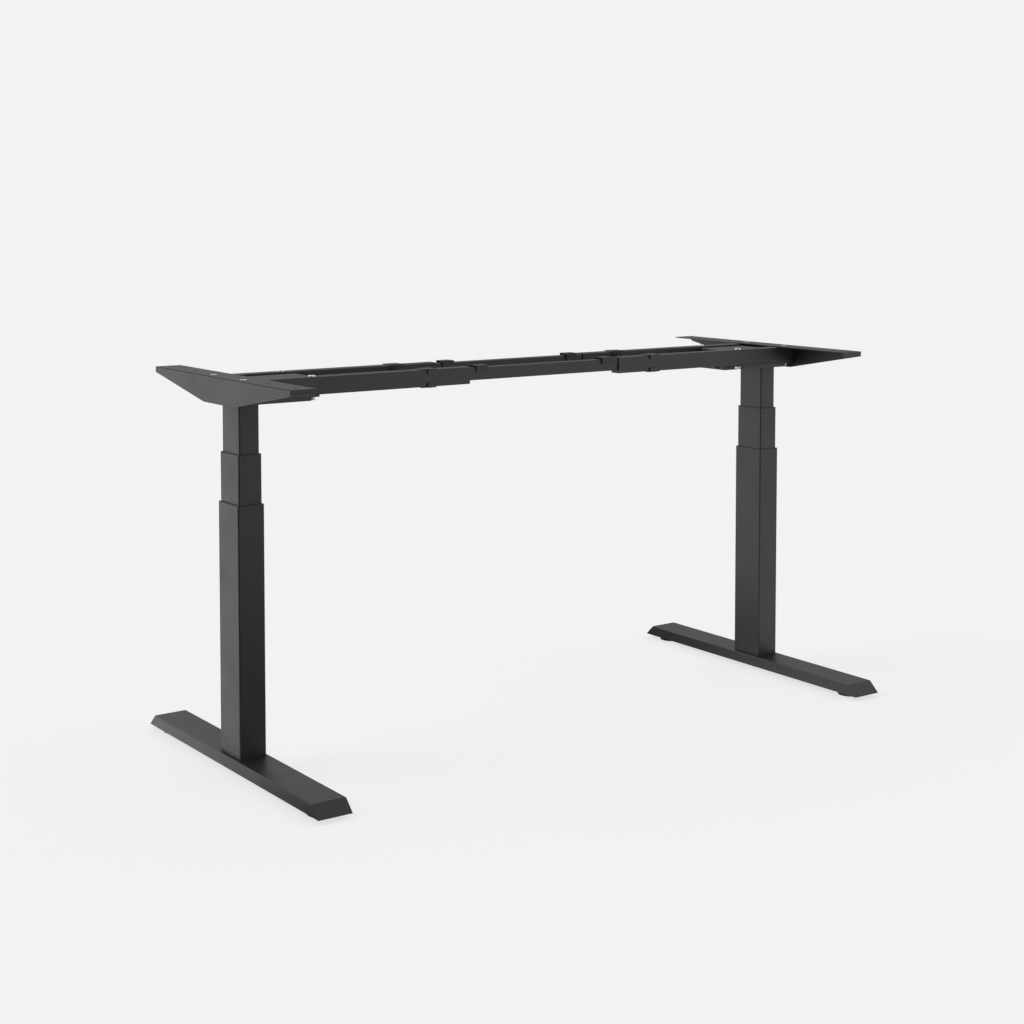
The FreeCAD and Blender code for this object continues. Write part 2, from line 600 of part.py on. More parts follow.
def head_plate(side):
    """Plate on top of the column, under both rails, open for the motor and folded down outside."""
    name = f"{side}_head_plate"
    plate = block(name + "_sheet", (f"-{RAIL_START}", f"-{HEAD_HALF}", HEAD_LOW),
                  (f"{RAIL_START} + plate_reach", f"2 * {HEAD_HALF}", "plate_sheet"))
    folds = [block(f"{name}_fold_{n}",
                   ("bolt_room - bolt_out", y, f"{HEAD_LOW} - plate_flange_drop"),
                   ("bolt_in + bolt_out - 2 * bolt_room", "plate_flange", "plate_flange_drop"))
             for n, y in enumerate((f"-{HEAD_HALF}", f"{HEAD_HALF} - plate_flange"))]
    opening = block(name + "_opening", (f"{COVER_STEP} - slide_fit", "-cover_half - slide_fit", HEAD_LOW),
                    ("plate_reach", "2 * (cover_half + slide_fit)", "plate_sheet"))
    shaft_hole = rod(name + "_shaft_hole", ("0", "0", HEAD_LOW), f"{JOURNAL_RADIUS} + bolt_fit",
                     "plate_sheet")
    holes = [rod(f"{name}_hole_{n}", (x, y, HEAD_LOW), "bolt_radius + bolt_fit", "plate_sheet")
             for n, (x, y) in enumerate(head_bolt_places(), start=1)]
    seat(cut(name, joined(name + "_solid", [plate] + folds), [opening, shaft_hole] + holes), side, name)


def head_bolts(side):
    """Four bolts through bracket or rail, rail and head plate, each with its nut below."""
    bolts = []
    for number, (x, y) in enumerate(head_bolt_places(), start=1):
        name = f"{side}_head_bolt_{number}"
        nut_low = f"{HEAD_LOW} - bolt_nut_height"
        shank = rod(name + "_shank", (x, y, nut_low), "bolt_radius",
                    f"{RAIL_TOP} - {HEAD_LOW} + bolt_nut_height")
        head = rod(name + "_head", (x, y, RAIL_TOP), "bolt_head", "bracket_sheet")
        nut = hexagon(name + "_nut", (x, y, nut_low), "bolt_nut", "bolt_nut_height")
        bolts.append(joined(name, [shank, head, nut]))
    seat(group(f"{side}_head_bolts_all", bolts), side, f"{side}_head_bolts")


def bracket(side):
    """Folded side bracket: a web on the outer side, a top flange and a closed front end."""
    name = f"{side}_side_bracket"
    body = doc.addObject("PartDesign::Body", name)
    skin = sketch(body, name + "_outline", "YZ_Plane", "-bracket_offset")
    tip, low = f"{FRAME_TOP} - bracket_tip", f"{FRAME_TOP} - bracket_depth"
    outline(skin, [("-bracket_length / 2", FRAME_TOP), ("-bracket_length / 2", tip),
                   ("-bracket_flat / 2", low), ("bracket_flat / 2", low),
                   ("bracket_length / 2", tip), ("bracket_length / 2", FRAME_TOP)])
    raised(body, skin, "bracket_flange")
    rounded(body, name + "_bend", "bracket_bend",
            lambda edge: runs_along(edge, V(0, 1, 0)) and edge.CenterOfMass.x < -1
            and edge.CenterOfMass.z > body.Tip.Shape.BoundBox.ZMax - 0.001)
    hollow = sketch(body, name + "_hollow", "YZ_Plane", "bracket_sheet - bracket_offset")
    closed, open_end = "(bracket_length / 2 - bracket_sheet)", "(bracket_length / 2 + bracket_sheet)"
    ends = (f"-{closed}", open_end) if inward(side, "front") < 0 else (f"-{open_end}", closed)
    rectangle(hollow, (ends[0], low), (ends[1], RAIL_TOP))
    raised(body, hollow, "bracket_flange", "PartDesign::Pocket", reverse=True)
    bolts = sketch(body, name + "_bolt_holes", "XY_Plane", FRAME_TOP)
    for y in ("-", ""):
        circle(bolts, ("-bolt_out", f"{y}rail_spread / 2"), "bolt_head + bolt_fit")
    raised(body, bolts, "bracket_sheet", "PartDesign::Pocket")
    screws = sketch(body, name + "_top_holes", "XY_Plane", FRAME_TOP)
    for spread in ("-top_hole_far", "-top_hole_near", "top_hole_near", "top_hole_far"):
        circle(screws, ("top_hole_inset - bracket_offset", f"{spread} / 2"), "top_hole")
    raised(body, screws, "bracket_sheet", "PartDesign::Pocket")
    seat(body, side, name)


def outer_rail(side, end):
    """Rectangular tube from the bracket's web inward, drilled for the head bolts and the clamp screw."""
    node = f"{side}_rail_{end}"
    toward = inward(side, end)
    y = f"{toward} * rail_spread / 2"
    section = ("rail_width", "rail_height")
    body = box_tube(node, "YZ_Plane", f"-{RAIL_START}", f"{RAIL_START} + rail_reach",
                    (y, RAIL_MIDDLE), section, [f"{size} - 2 * rail_wall" for size in section],
                    ("rail_corner", "bore_corner"))
    holes = sketch(body, node + "_bolt_holes", "XY_Plane", RAIL_TOP)
    for x in ("-bolt_out", "bolt_in"):
        circle(holes, (x, y), "bolt_radius + bolt_fit")
    raised(body, holes, "rail_height", "PartDesign::Pocket")
    side_hole = sketch(body, node + "_screw_hole", "XZ_Plane",
                       f"{-toward} * (rail_spread - rail_width) / 2")
    circle(side_hole, (CLAMP_MIDDLE, RAIL_MIDDLE), "screw_radius + bolt_fit")
    raised(body, side_hole, "rail_wall", "PartDesign::Pocket", reverse=toward < 0)
    seat(body, side, node)


# Drive -------------------------------------------------------------------------------------

def gearbox(side):
    name = f"{side}_gearbox"
    case = block(name + "_case", ("-gearbox_outer", f"-{GEARBOX_HALF}", RAIL_LOW),
                 ("gearbox_outer + gearbox_reach", f"2 * {GEARBOX_HALF}",
                  f"{COVER_TOP} - cover_sheet - cover_room - {RAIL_LOW}"))
    bore = rod(name + "_bore", ("0", "0", RAIL_LOW), f"{JOURNAL_RADIUS} + slide_fit",
               "journal_length + 2 * slide_fit")
    seat(cut(name, case, [bore]), side, name)


def motor(side):
    """Motor lying inward along X, its nose in the gearbox and a bearing cap at its far end."""
    name = f"{side}_motor"
    far_end = "(cover_reach - motor_end)"
    can = rod(name + "_can", (MOTOR_START, "0", MOTOR_AXIS), "motor_radius", f"{far_end} - {MOTOR_START}",
              LAY_ALONG_X)
    nose = rod(name + "_nose", ("gearbox_reach", "0", MOTOR_AXIS), "motor_neck", "motor_gap", LAY_ALONG_X)
    cap = rod(name + "_cap", (far_end, "0", MOTOR_AXIS), "motor_neck", "motor_cap", LAY_ALONG_X)
    seat(joined(name, [can, nose, cap]), side, name)


def motor_cover(side):
    """Sheet cover over gearbox and motor, stepped down past the head plate, with the lead socket."""
    name = f"{side}_motor_cover"
    body = doc.addObject("PartDesign::Body", name)
    skin = sketch(body, name + "_outline", "XZ_Plane", "-cover_half")
    outline(skin, [("-cover_outer", RAIL_LOW), (COVER_STEP, RAIL_LOW), (COVER_STEP, COVER_LOW),
                   ("cover_reach", COVER_LOW), ("cover_reach", COVER_TOP), ("-cover_outer", COVER_TOP)])
    raised(body, skin, "2 * cover_half")
    doc.recompute()
    box = body.Tip.Shape.BoundBox
    rounded(body, name + "_edges", "cover_corner",
            lambda edge: on_box(edge, box) == 2 and edge.CenterOfMass.x > 0)
    hollow = sketch(body, name + "_hollow", "XZ_Plane", "cover_sheet - cover_half")
    floor, ceiling = f"{COVER_LOW} + cover_sheet", f"{COVER_TOP} - cover_sheet"
    outline(hollow, [("cover_sheet - cover_outer", RAIL_LOW), (f"{COVER_STEP} + cover_sheet", RAIL_LOW),
                     (f"{COVER_STEP} + cover_sheet", floor), ("cover_reach - cover_sheet", floor),
                     ("cover_reach - cover_sheet", ceiling), ("cover_sheet - cover_outer", ceiling)])
    raised(body, hollow, "2 * (cover_half - cover_sheet)", "PartDesign::Pocket", reverse=True)
    socket = sketch(body, name + "_socket", "YZ_Plane", "cover_reach")
    rectangle(socket, ("socket_offset - socket_width / 2", f"{COVER_LOW} + socket_lift"),
              ("socket_offset + socket_width / 2", f"{COVER_LOW} + socket_lift + socket_height"))
    raised(body, socket, "cover_sheet", "PartDesign::Pocket")
    seat(body, side, name)


# Telescopic rails --------------------------------------------------------------------------

def centre_rail(end):
    """Inner tube that slides in both outer rails of one side of the desk."""
    node = f"centre_rail_{end}"
    y = f"({'-' if end == 'front' else ''}rail_spread / 2)"
    section = (INNER_RAIL_WIDTH, INNER_RAIL_HEIGHT)
    body = box_tube(node, "YZ_Plane", f"-{INNER_RAIL_LENGTH} / 2", INNER_RAIL_LENGTH,
                    (y, f"({INNER_RAIL_TOP} - {INNER_RAIL_HEIGHT} / 2)"), section,
                    [f"{size} - 2 * inner_rail_wall" for size in section], ("rail_corner", "bore_corner"))
    body.Label = node
    nodes.append(body)


def rail_guide(side, end):
    """Plastic liner under and beside the centre rail in the outer rail's mouth, with the saddle
    that stands over the centre rail outside it."""
    node = f"{side}_guide_{end}"
    y = f"({inward(side, end)} * rail_spread / 2)"
    bore = "(rail_width - 2 * rail_wall)"
    floor = f"({RAIL_LOW} + rail_wall)"
    base = block(node + "_base", ("rail_reach - guide_length", f"{y} - {bore} / 2 + bore_corner", floor),
                 ("guide_length", f"{bore} - 2 * bore_corner", "guide_floor"))
    tray = block(node + "_tray", ("rail_reach - guide_length", f"{y} - {bore} / 2", f"{floor} + bore_corner"),
                 ("guide_length", bore, f"{INNER_RAIL_TOP} - {floor} - bore_corner - rail_corner"))
    strips = block(node + "_strips", ("rail_reach", f"{y} - {bore} / 2", f"{INNER_RAIL_TOP} - saddle_drop"),
                   ("saddle_gap + saddle_wall", bore, "saddle_drop - rail_corner"))
    saddle = block(node + "_saddle", ("rail_reach + saddle_gap", f"{y} - {bore} / 2 - saddle_wall + cheek",
                                      f"{INNER_RAIL_TOP} - saddle_drop"),
                   ("saddle_length", f"{bore} + 2 * saddle_wall - 2 * cheek",
                    f"{FRAME_TOP} - {INNER_RAIL_TOP} + saddle_drop"))
    channel = block(node + "_channel",
                    ("rail_reach - guide_length", f"{y} - {INNER_RAIL_WIDTH} / 2 - slide_fit",
                     f"{INNER_RAIL_LOW} - slide_fit"),
                    ("guide_length + saddle_gap + saddle_length", f"{INNER_RAIL_WIDTH} + 2 * slide_fit",
                     f"{INNER_RAIL_HEIGHT} + 2 * slide_fit"))
    slot = block(node + "_slot", ("rail_reach + saddle_gap + saddle_length / 2", f"{y} - rail_width",
                                  f"{FRAME_TOP} - saddle_slot_depth"),
                 ("saddle_slot", "2 * rail_width", "saddle_slot_depth"))
    seat(cut(node, joined(node + "_solid", [base, tray, strips, saddle]), [channel, slot]), side, node)


def rail_clamp(side, end):
    """Clamp that hooks round the outer rail, with a boss on the inner side for its screw."""
    node = f"{side}_clamp_{end}"
    toward = inward(side, end)
    y = f"({toward} * rail_spread / 2)"
    half = "(rail_width / 2)"
    ring_low = f"{y} - {half} - clamp_wall" if toward > 0 else f"{y} - {half} - clamp_proud"
    ring = block(node + "_ring", (CLAMP_START, ring_low, f"{RAIL_LOW} - clamp_wall"),
                 ("clamp_length", "rail_width + clamp_wall + clamp_proud", "rail_height + 2 * clamp_wall"))
    boss_low = f"{y} - {half} - clamp_wall - clamp_boss" if toward > 0 else f"{y} + {half} + clamp_wall"
    boss = block(node + "_boss", (f"{CLAMP_MIDDLE} - clamp_boss_length / 2", boss_low,
                                  f"{RAIL_MIDDLE} - clamp_boss_height / 2"),
                 ("clamp_boss_length", "clamp_boss", "clamp_boss_height"))
    rail = block(node + "_rail", (CLAMP_START, f"{y} - {half}", RAIL_LOW),
                 ("clamp_length", "rail_width", "rail_height"))
    face = f"{y} + {half}" if toward > 0 else f"{y} - {half} - clamp_proud"
    window = block(node + "_window", (CLAMP_START, face, f"{RAIL_LOW} + clamp_wrap"),
                   ("clamp_length", "clamp_proud", "rail_height - 2 * clamp_wrap"))
    beside = []
    for where, start, length in (("near", CLAMP_START, "clamp_hook_place"),
                                 ("far", f"{CLAMP_START} + clamp_hook_place + clamp_hook",
                                  "clamp_length - clamp_hook_place - clamp_hook")):
        beside.append(block(f"{node}_{where}_side", (start, face, f"{RAIL_LOW} - clamp_wall"),
                            (length, "clamp_proud", "rail_height + 2 * clamp_wall")))
    hole_low = f"{y} - {half} - clamp_wall - clamp_boss" if toward > 0 else f"{y} + {half}"
    hole = rod(node + "_hole", (CLAMP_MIDDLE, hole_low, RAIL_MIDDLE), "screw_radius + bolt_fit",
               "clamp_wall + clamp_boss", LAY_ALONG_Y)
    seat(cut(node, joined(node + "_solid", [ring, boss]), [rail, window, hole] + beside), side, node)


def clamp_screws(side):
    """One knurled screw for each clamp, reaching through the outer rail's inner wall."""
    screws = []
    for end in ENDS:
        name = f"{side}_clamp_screw_{end}"
        toward = inward(side, end)
        tip = f"{toward} * (rail_spread - rail_width) / 2 + {toward} * rail_wall"
        seat_face = f"{toward} * ((rail_spread - rail_width) / 2 - clamp_wall - clamp_boss)"
        shank_length = "(rail_wall + clamp_wall + clamp_boss)"
        low = f"{tip} - {shank_length}" if toward > 0 else tip
        shank = rod(name + "_shank", (CLAMP_MIDDLE, low, RAIL_MIDDLE), "screw_radius", shank_length,
                    LAY_ALONG_Y)
        knob_low = f"{seat_face} - knob_height" if toward > 0 else seat_face
        knob = rod(name + "_knob", (CLAMP_MIDDLE, knob_low, RAIL_MIDDLE), "knob_radius", "knob_height",
                   LAY_ALONG_Y)
        screws.append(joined(name, [shank, knob]))
    seat(group(f"{side}_clamp_screws_all", screws), side, f"{side}_clamp_screws")


# Assembly ----------------------------------------------------------------------------------

def leg(side):
    foot(side)
    foot_bolts(side)
    outer_tube(side)
    mid_tube(side)
    inner_tube(side)
    glide(side, "lower", LOWER_TOP, ("column_width", "column_depth"))
    glide(side, "middle", MIDDLE_TOP, (MIDDLE_WIDTH, MIDDLE_DEPTH))
    shoe(side, "middle", MIDDLE_LOW, (MIDDLE_WIDTH, MIDDLE_DEPTH))
    shoe(side, "upper", UPPER_LOW, (UPPER_WIDTH, UPPER_DEPTH))
    lift_post(side)
    thrust_bearing(side)
    spindle(side)
    spindle_nut(side)
    drive_shaft(side)
    head_plate(side)
    head_bolts(side)
    bracket(side)
    gearbox(side)
    motor(side)
    motor_cover(side)
    clamp_screws(side)
    for end in ENDS:
        leveller(side, end)
        outer_rail(side, end)
        rail_guide(side, end)
        rail_clamp(side, end)


def check():
    """Stop if any object failed, or any node's shape is missing or invalid."""
    for item in doc.Objects:
        if {"Invalid", "Error"} & set(item.State):
            raise RuntimeError(f"{item.Name} failed: {item.State}")
    for item in nodes:
        if item.Shape.isNull() or not item.Shape.isValid() or not item.Shape.Solids:
            raise RuntimeError(f"{item.Label} has no valid solid")


def write():
    os.makedirs("parts", exist_ok=True)
    for item in nodes:
        item.Shape.exportStep(f"parts/{item.Label}.step")


for leg_side in SIDES:
    leg(leg_side)
for desk_end in ENDS:
    centre_rail(desk_end)
doc.recompute()
check()
write()
print(len(nodes), "nodes")
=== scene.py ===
"""Looks, light and camera for a height-adjustable desk frame: two telescopic columns on steel
feet, joined by telescopic rails that carry side brackets for a desk top. Metres throughout."""
import json
from math import atan2, cos, pi, radians, sin

import bmesh
import bpy
from mathutils import Matrix, Vector


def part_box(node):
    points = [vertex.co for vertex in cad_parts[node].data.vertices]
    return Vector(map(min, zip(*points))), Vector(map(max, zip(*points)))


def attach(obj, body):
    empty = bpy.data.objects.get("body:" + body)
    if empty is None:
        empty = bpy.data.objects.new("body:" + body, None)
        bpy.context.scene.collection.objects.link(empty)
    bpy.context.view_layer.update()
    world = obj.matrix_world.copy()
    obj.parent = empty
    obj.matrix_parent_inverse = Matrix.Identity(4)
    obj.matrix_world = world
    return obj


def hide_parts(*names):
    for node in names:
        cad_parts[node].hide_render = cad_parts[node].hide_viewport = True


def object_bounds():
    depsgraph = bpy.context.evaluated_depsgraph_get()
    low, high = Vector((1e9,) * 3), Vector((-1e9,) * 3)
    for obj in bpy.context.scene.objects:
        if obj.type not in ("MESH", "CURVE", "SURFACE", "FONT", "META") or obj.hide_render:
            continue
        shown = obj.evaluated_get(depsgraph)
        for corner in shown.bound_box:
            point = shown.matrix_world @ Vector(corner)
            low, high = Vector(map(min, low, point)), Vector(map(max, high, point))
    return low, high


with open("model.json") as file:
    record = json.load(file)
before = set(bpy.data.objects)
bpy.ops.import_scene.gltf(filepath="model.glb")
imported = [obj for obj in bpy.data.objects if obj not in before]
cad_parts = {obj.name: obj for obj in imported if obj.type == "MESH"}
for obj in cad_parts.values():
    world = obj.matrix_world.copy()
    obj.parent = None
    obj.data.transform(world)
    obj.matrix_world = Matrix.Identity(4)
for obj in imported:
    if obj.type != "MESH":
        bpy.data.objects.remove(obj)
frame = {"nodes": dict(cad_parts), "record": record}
cad_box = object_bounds()
bpy.ops.object.select_all(action="DESELECT")

MM = 0.001
NEAR = 1e-6          # metres; points closer than this are level with each other
SIDES = ("left", "right")
ENDS = ("front", "back")
nodes = frame["nodes"]


# Finishes ----------------------------------------------------------------------------------
# Colours are linear. A finish's colour and roughness each vary between two values by a noise.

NOISE_LOW, NOISE_HIGH = 0.3, 0.7     # nearly all of a noise value lies between these


def finish(name, colour, roughness, metal=0.0, shine=0.5):
    """A new finish: its node tree and its shader, with what is even all over already set."""
    material = bpy.data.materials.new(name)
    material.use_nodes = True
    shader = material.node_tree.nodes["Principled BSDF"]
    shader.inputs["Base Color"].default_value = (*colour, 1)
    shader.inputs["Roughness"].default_value = roughness
    shader.inputs["Metallic"].default_value = metal
    shader.inputs["Specular IOR Level"].default_value = shine
    return material, material.node_tree, shader


def grain(tree, size, stretch=(1, 1, 1), detail=3.0):
    """Noise of that size in metres, in the frame's own space."""
    place = tree.nodes.new("ShaderNodeTexCoord")
    mapping = tree.nodes.new("ShaderNodeMapping")
    noise = tree.nodes.new("ShaderNodeTexNoise")
    mapping.inputs["Scale"].default_value = stretch
    noise.inputs["Scale"].default_value = 1 / size
    noise.inputs["Detail"].default_value = detail
    tree.links.new(place.outputs["Object"], mapping.inputs["Vector"])
    tree.links.new(mapping.outputs["Vector"], noise.inputs["Vector"])
    return noise.outputs["Fac"]


def ranged(tree, value, low, high):
    """A noise value spread over the range from low to high."""
    spread = tree.nodes.new("ShaderNodeMapRange")
    spread.inputs["From Min"].default_value = NOISE_LOW
    spread.inputs["From Max"].default_value = NOISE_HIGH
    spread.inputs["To Min"].default_value = low
    spread.inputs["To Max"].default_value = high
    tree.links.new(value, spread.inputs["Value"])
    return spread.outputs["Result"]


def tinted(tree, shader, value, dark, light):
    """Colours the finish from dark to light by a noise value."""
    mix = tree.nodes.new("ShaderNodeMix")
    mix.data_type = "RGBA"
    mix.inputs["A"].default_value = (*dark, 1)
    mix.inputs["B"].default_value = (*light, 1)
    tree.links.new(ranged(tree, value, 0, 1), mix.inputs["Factor"])
    tree.links.new(mix.outputs["Result"], shader.inputs["Base Color"])


def raised(tree, shader, *layers):
    """Bumps the surface by layers of (noise value, height in metres)."""
    normal = None
    for value, height in layers:
        bump = tree.nodes.new("ShaderNodeBump")
        bump.inputs["Distance"].default_value = height
        tree.links.new(value, bump.inputs["Height"])
        if normal:
            tree.links.new(normal, bump.inputs["Normal"])
        normal = bump.outputs["Normal"]
    tree.links.new(normal, shader.inputs["Normal"])


def powder_coat():
    material, tree, shader = finish("powder_coat", (0.010, 0.010, 0.011), 0.42)
    pebble = grain(tree, 1.1 * MM, detail=2)
    swell = grain(tree, 9 * MM)
    patch = grain(tree, 60 * MM)
    tinted(tree, shader, pebble, (0.008, 0.008, 0.009), (0.014, 0.014, 0.015))
    tree.links.new(ranged(tree, patch, 0.39, 0.46), shader.inputs["Roughness"])
    raised(tree, shader, (swell, 0.05 * MM), (pebble, 0.045 * MM))
    return material


def moulded_nylon():
    material, tree, shader = finish("moulded_nylon", (0.008, 0.008, 0.008), 0.48)
    spark = grain(tree, 0.45 * MM, detail=2)
    flow = grain(tree, 22 * MM, stretch=(1, 1, 2.5))
    tinted(tree, shader, flow, (0.006, 0.006, 0.006), (0.011, 0.011, 0.012))
    tree.links.new(ranged(tree, flow, 0.44, 0.54), shader.inputs["Roughness"])
    raised(tree, shader, (spark, 0.03 * MM))
    return material


def natural_acetal():
    material, tree, shader = finish("natural_acetal", (0.72, 0.71, 0.67), 0.36)
    cloud = grain(tree, 14 * MM)
    tinted(tree, shader, cloud, (0.66, 0.65, 0.60), (0.78, 0.77, 0.73))
    tree.links.new(ranged(tree, cloud, 0.32, 0.42), shader.inputs["Roughness"])
    raised(tree, shader, (grain(tree, 1.5 * MM), 0.02 * MM))
    shader.inputs["Subsurface Weight"].default_value = 0.15
    shader.inputs["Subsurface Scale"].default_value = 2 * MM
    return material


def pad_rubber():
    material, tree, shader = finish("pad_rubber", (0.022, 0.022, 0.022), 0.72, shine=0.35)
    dust = grain(tree, 8 * MM)
    tinted(tree, shader, dust, (0.016, 0.016, 0.016), (0.034, 0.033, 0.032))
    tree.links.new(ranged(tree, dust, 0.64, 0.82), shader.inputs["Roughness"])
    raised(tree, shader, (grain(tree, 0.7 * MM, detail=4), 0.06 * MM))
    return material


def bright_zinc():
    material, tree, shader = finish("bright_zinc", (0.83, 0.83, 0.83), 0.42, metal=0.8)
    bloom = grain(tree, 2.5 * MM)
    tinted(tree, shader, bloom, (0.76, 0.77, 0.78), (0.90, 0.90, 0.89))
    tree.links.new(ranged(tree, bloom, 0.36, 0.50), shader.inputs["Roughness"])
    raised(tree, shader, (grain(tree, 0.35 * MM), 0.01 * MM))
    return material


def black_oxide():
    material, tree, shader = finish("black_oxide", (0.035, 0.034, 0.036), 0.38, metal=1)
    oil = grain(tree, 4 * MM)
    tinted(tree, shader, oil, (0.024, 0.024, 0.026), (0.055, 0.052, 0.052))
    tree.links.new(ranged(tree, oil, 0.30, 0.48), shader.inputs["Roughness"])
    raised(tree, shader, (grain(tree, 0.4 * MM), 0.015 * MM))
    return material


def turned_steel():
    material, tree, shader = finish("turned_steel", (0.56, 0.56, 0.57), 0.3, metal=1)
    rings = grain(tree, 6 * MM, stretch=(1, 1, 30), detail=2)
    tinted(tree, shader, rings, (0.48, 0.48, 0.49), (0.64, 0.64, 0.64))
    tree.links.new(ranged(tree, rings, 0.24, 0.40), shader.inputs["Roughness"])
    raised(tree, shader, (rings, 0.02 * MM))
    return material


def cast_alloy():
    material, tree, shader = finish("cast_alloy", (0.50, 0.50, 0.52), 0.5, metal=1)
    skin = grain(tree, 1.2 * MM, detail=4)
    stain = grain(tree, 18 * MM)
    tinted(tree, shader, stain, (0.42, 0.42, 0.44), (0.58, 0.58, 0.60))
    tree.links.new(ranged(tree, skin, 0.42, 0.62), shader.inputs["Roughness"])
    raised(tree, shader, (skin, 0.08 * MM))
    return material


def plated_can():
    material, tree, shader = finish("plated_can", (0.55, 0.55, 0.56), 0.34, metal=1)
    brushing = grain(tree, 5 * MM, stretch=(1, 14, 14), detail=2)
    tinted(tree, shader, brushing, (0.48, 0.48, 0.50), (0.62, 0.62, 0.62))
    tree.links.new(ranged(tree, brushing, 0.28, 0.42), shader.inputs["Roughness"])
    raised(tree, shader, (brushing, 0.015 * MM))
    return material


FINISHES = {
    "powder_coat": powder_coat(), "black_plastic": moulded_nylon(),
    "nut_plastic": natural_acetal(), "pads": pad_rubber(),
    "bright_screws": bright_zinc(), "black_screws": black_oxide(),
    "bright_steel": turned_steel(), "gearbox_metal": cast_alloy(),
    "motor_metal": plated_can(),
}
SLOTS = {sub["node"]: sub["material_slot"] for sub in frame["record"]["subparts"]}
BODIES = {node: body for body, group in frame["record"]["behaviour"]["bodies"].items()
          for node in group}


def dress(piece, slot):
    """Gives a piece the finish of one of the record's material slots."""
    piece.data.materials.clear()
    piece.data.materials.append(FINISHES[slot])


def dress_frame():
    """Every piece of the frame gets its own finish in place of the plain one."""
    for node, piece in nodes.items():
        for place in piece.material_slots:
            place.material = FINISHES[SLOTS[node]]


# Working on one piece -----------------------------------------------------------------------

THREAD_DEPTH = 0.6                   # share of the pitch
SMOOTH_ANGLE, THREAD_ANGLE = 35, 25  # degrees; sharper edges than this stay crisp


def take(piece):
    """Leaves this piece alone selected, and open for work in object mode."""
    bpy.ops.object.select_all(action="DESELECT")
    piece.select_set(True)
    bpy.context.view_layer.objects.active = piece


def edit(piece):
    """Opens a piece's mesh with nothing in it selected."""
    take(piece)
    bpy.ops.object.mode_set(mode="EDIT")
    bpy.ops.mesh.select_mode(type="FACE")
    bpy.ops.mesh.select_all(action="DESELECT")


def close():
    bpy.ops.object.mode_set(mode="OBJECT")


def pick(kind, wanted):
    """In the open mesh, selects the edges or the faces that are wanted and nothing else."""
    bpy.ops.mesh.select_all(action="DESELECT")
    mesh = bmesh.from_edit_mesh(bpy.context.object.data)
    bpy.ops.mesh.select_mode(type={"edges": "EDGE", "faces": "FACE"}[kind])
    for item in getattr(mesh, kind):
        if wanted(item):
            item.select_set(True)
    mesh.select_flush_mode()
    bmesh.update_edit_mesh(bpy.context.object.data)


def level(edge):
    """The height of a level edge, or None for any other edge."""
    first, second = edge.verts
    return first.co.z if abs(first.co.z - second.co.z) < NEAR else None


def level_at(height):
    """Picks out the level edges at one height."""
    return lambda edge: level(edge) is not None and abs(level(edge) - height) < NEAR


def facing_up(face):
    return face.normal.z > 0.9


def smooth(piece, angle=SMOOTH_ANGLE):
    take(piece)
    bpy.ops.object.shade_smooth_by_angle(angle=radians(angle))
    return piece


def settle(piece, name):
    """Names a piece and puts its place into its mesh."""
    piece.name = piece.data.name = name
    take(piece)
    bpy.ops.object.transform_apply(location=True, rotation=True, scale=True)
    return piece


def cylinder(radius, low, high, sides):
    bpy.ops.mesh.primitive_cylinder_add(vertices=sides, radius=radius, depth=high - low,
                                        location=(0, 0, (low + high) / 2))
    return settle(bpy.context.object, "turned_piece")


def threaded(radius, low, high, pitch):
    """A stud on the Z axis with a groove and a ridge turned into it for each pitch."""
    stud = cylinder(radius, low, low + pitch, sides=24)
    edit(stud)
    root = 1 - THREAD_DEPTH * pitch / radius
    height = low + pitch
    for _ in range(int((high - height) / pitch)):
        for size in (root, 1 / root):
            pick("faces", facing_up)
            height += pitch / 2
            bpy.ops.mesh.extrude_region_move(TRANSFORM_OT_translate={"value": (0, 0, pitch / 2)})
            bpy.ops.transform.resize(value=(size, size, 1), center_override=(0, 0, height))
    pick("faces", facing_up)
    bpy.ops.mesh.extrude_region_move(TRANSFORM_OT_translate={"value": (0, 0, high - height)})
    pick("edges", level_at(high))
    chamfer = min(0.25 * radius, 0.45 * (high - height))
    bpy.ops.mesh.bevel(offset=chamfer, segments=1)
    close()
    return stud


def joined(pieces, name):
    take(pieces[0])
    for piece in pieces:
        piece.select_set(True)
    bpy.ops.object.join()
    piece = bpy.context.object
    piece.name = piece.data.name = name
    return piece


def copied(piece, name, matrix):
    """A copy with its own mesh, moved in its mesh."""
    twin = piece.copy()
    twin.data = piece.data.copy()
    twin.data.transform(matrix)
    twin.name = twin.data.name = name
    bpy.context.scene.collection.objects.link(twin)
    return twin


def fitted(piece, slot, body, *replaced):
    """A finished piece rides on its body and stands for the pieces that it replaces."""
    dress(piece, slot)
    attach(piece, body)
    if replaced:
        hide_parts(*replaced)


def middle(node):
    low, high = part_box(node)
    return (low + high) / 2


# Painted and moulded pieces ------------------------------------------------------------------

MERGE_GAP = 0.002 * MM
FLAT_ANGLE, CORNER_ANGLE = 0.3, 40   # degrees; what is dissolved, and what is rounded over
PAINT_EDGE, FOLD_EDGE, MOULD_EDGE, CLIP_EDGE = 0.4 * MM, 0.8 * MM, 0.25 * MM, 0.2 * MM
SEAM_DEPTH, SEAM_REACH = 1.2 * MM, 1 * MM
HOOK_ENDS, SADDLE_ENDS = (10, 30), (110, 140)       # least and most area, square millimetres
END_RIM, END_DEPTH = 0.3 * MM, 4 * MM
OUTER_SIDE, OUTER_TOP = cad_box[1][0], cad_box[1][2]
PAINTED = ("foot", "lower_tube", "middle_tube", "upper_tube", "head_plate", "motor_cover",
           "rail_front", "rail_back")
MOULDED = ("lower_glide", "middle_glide")


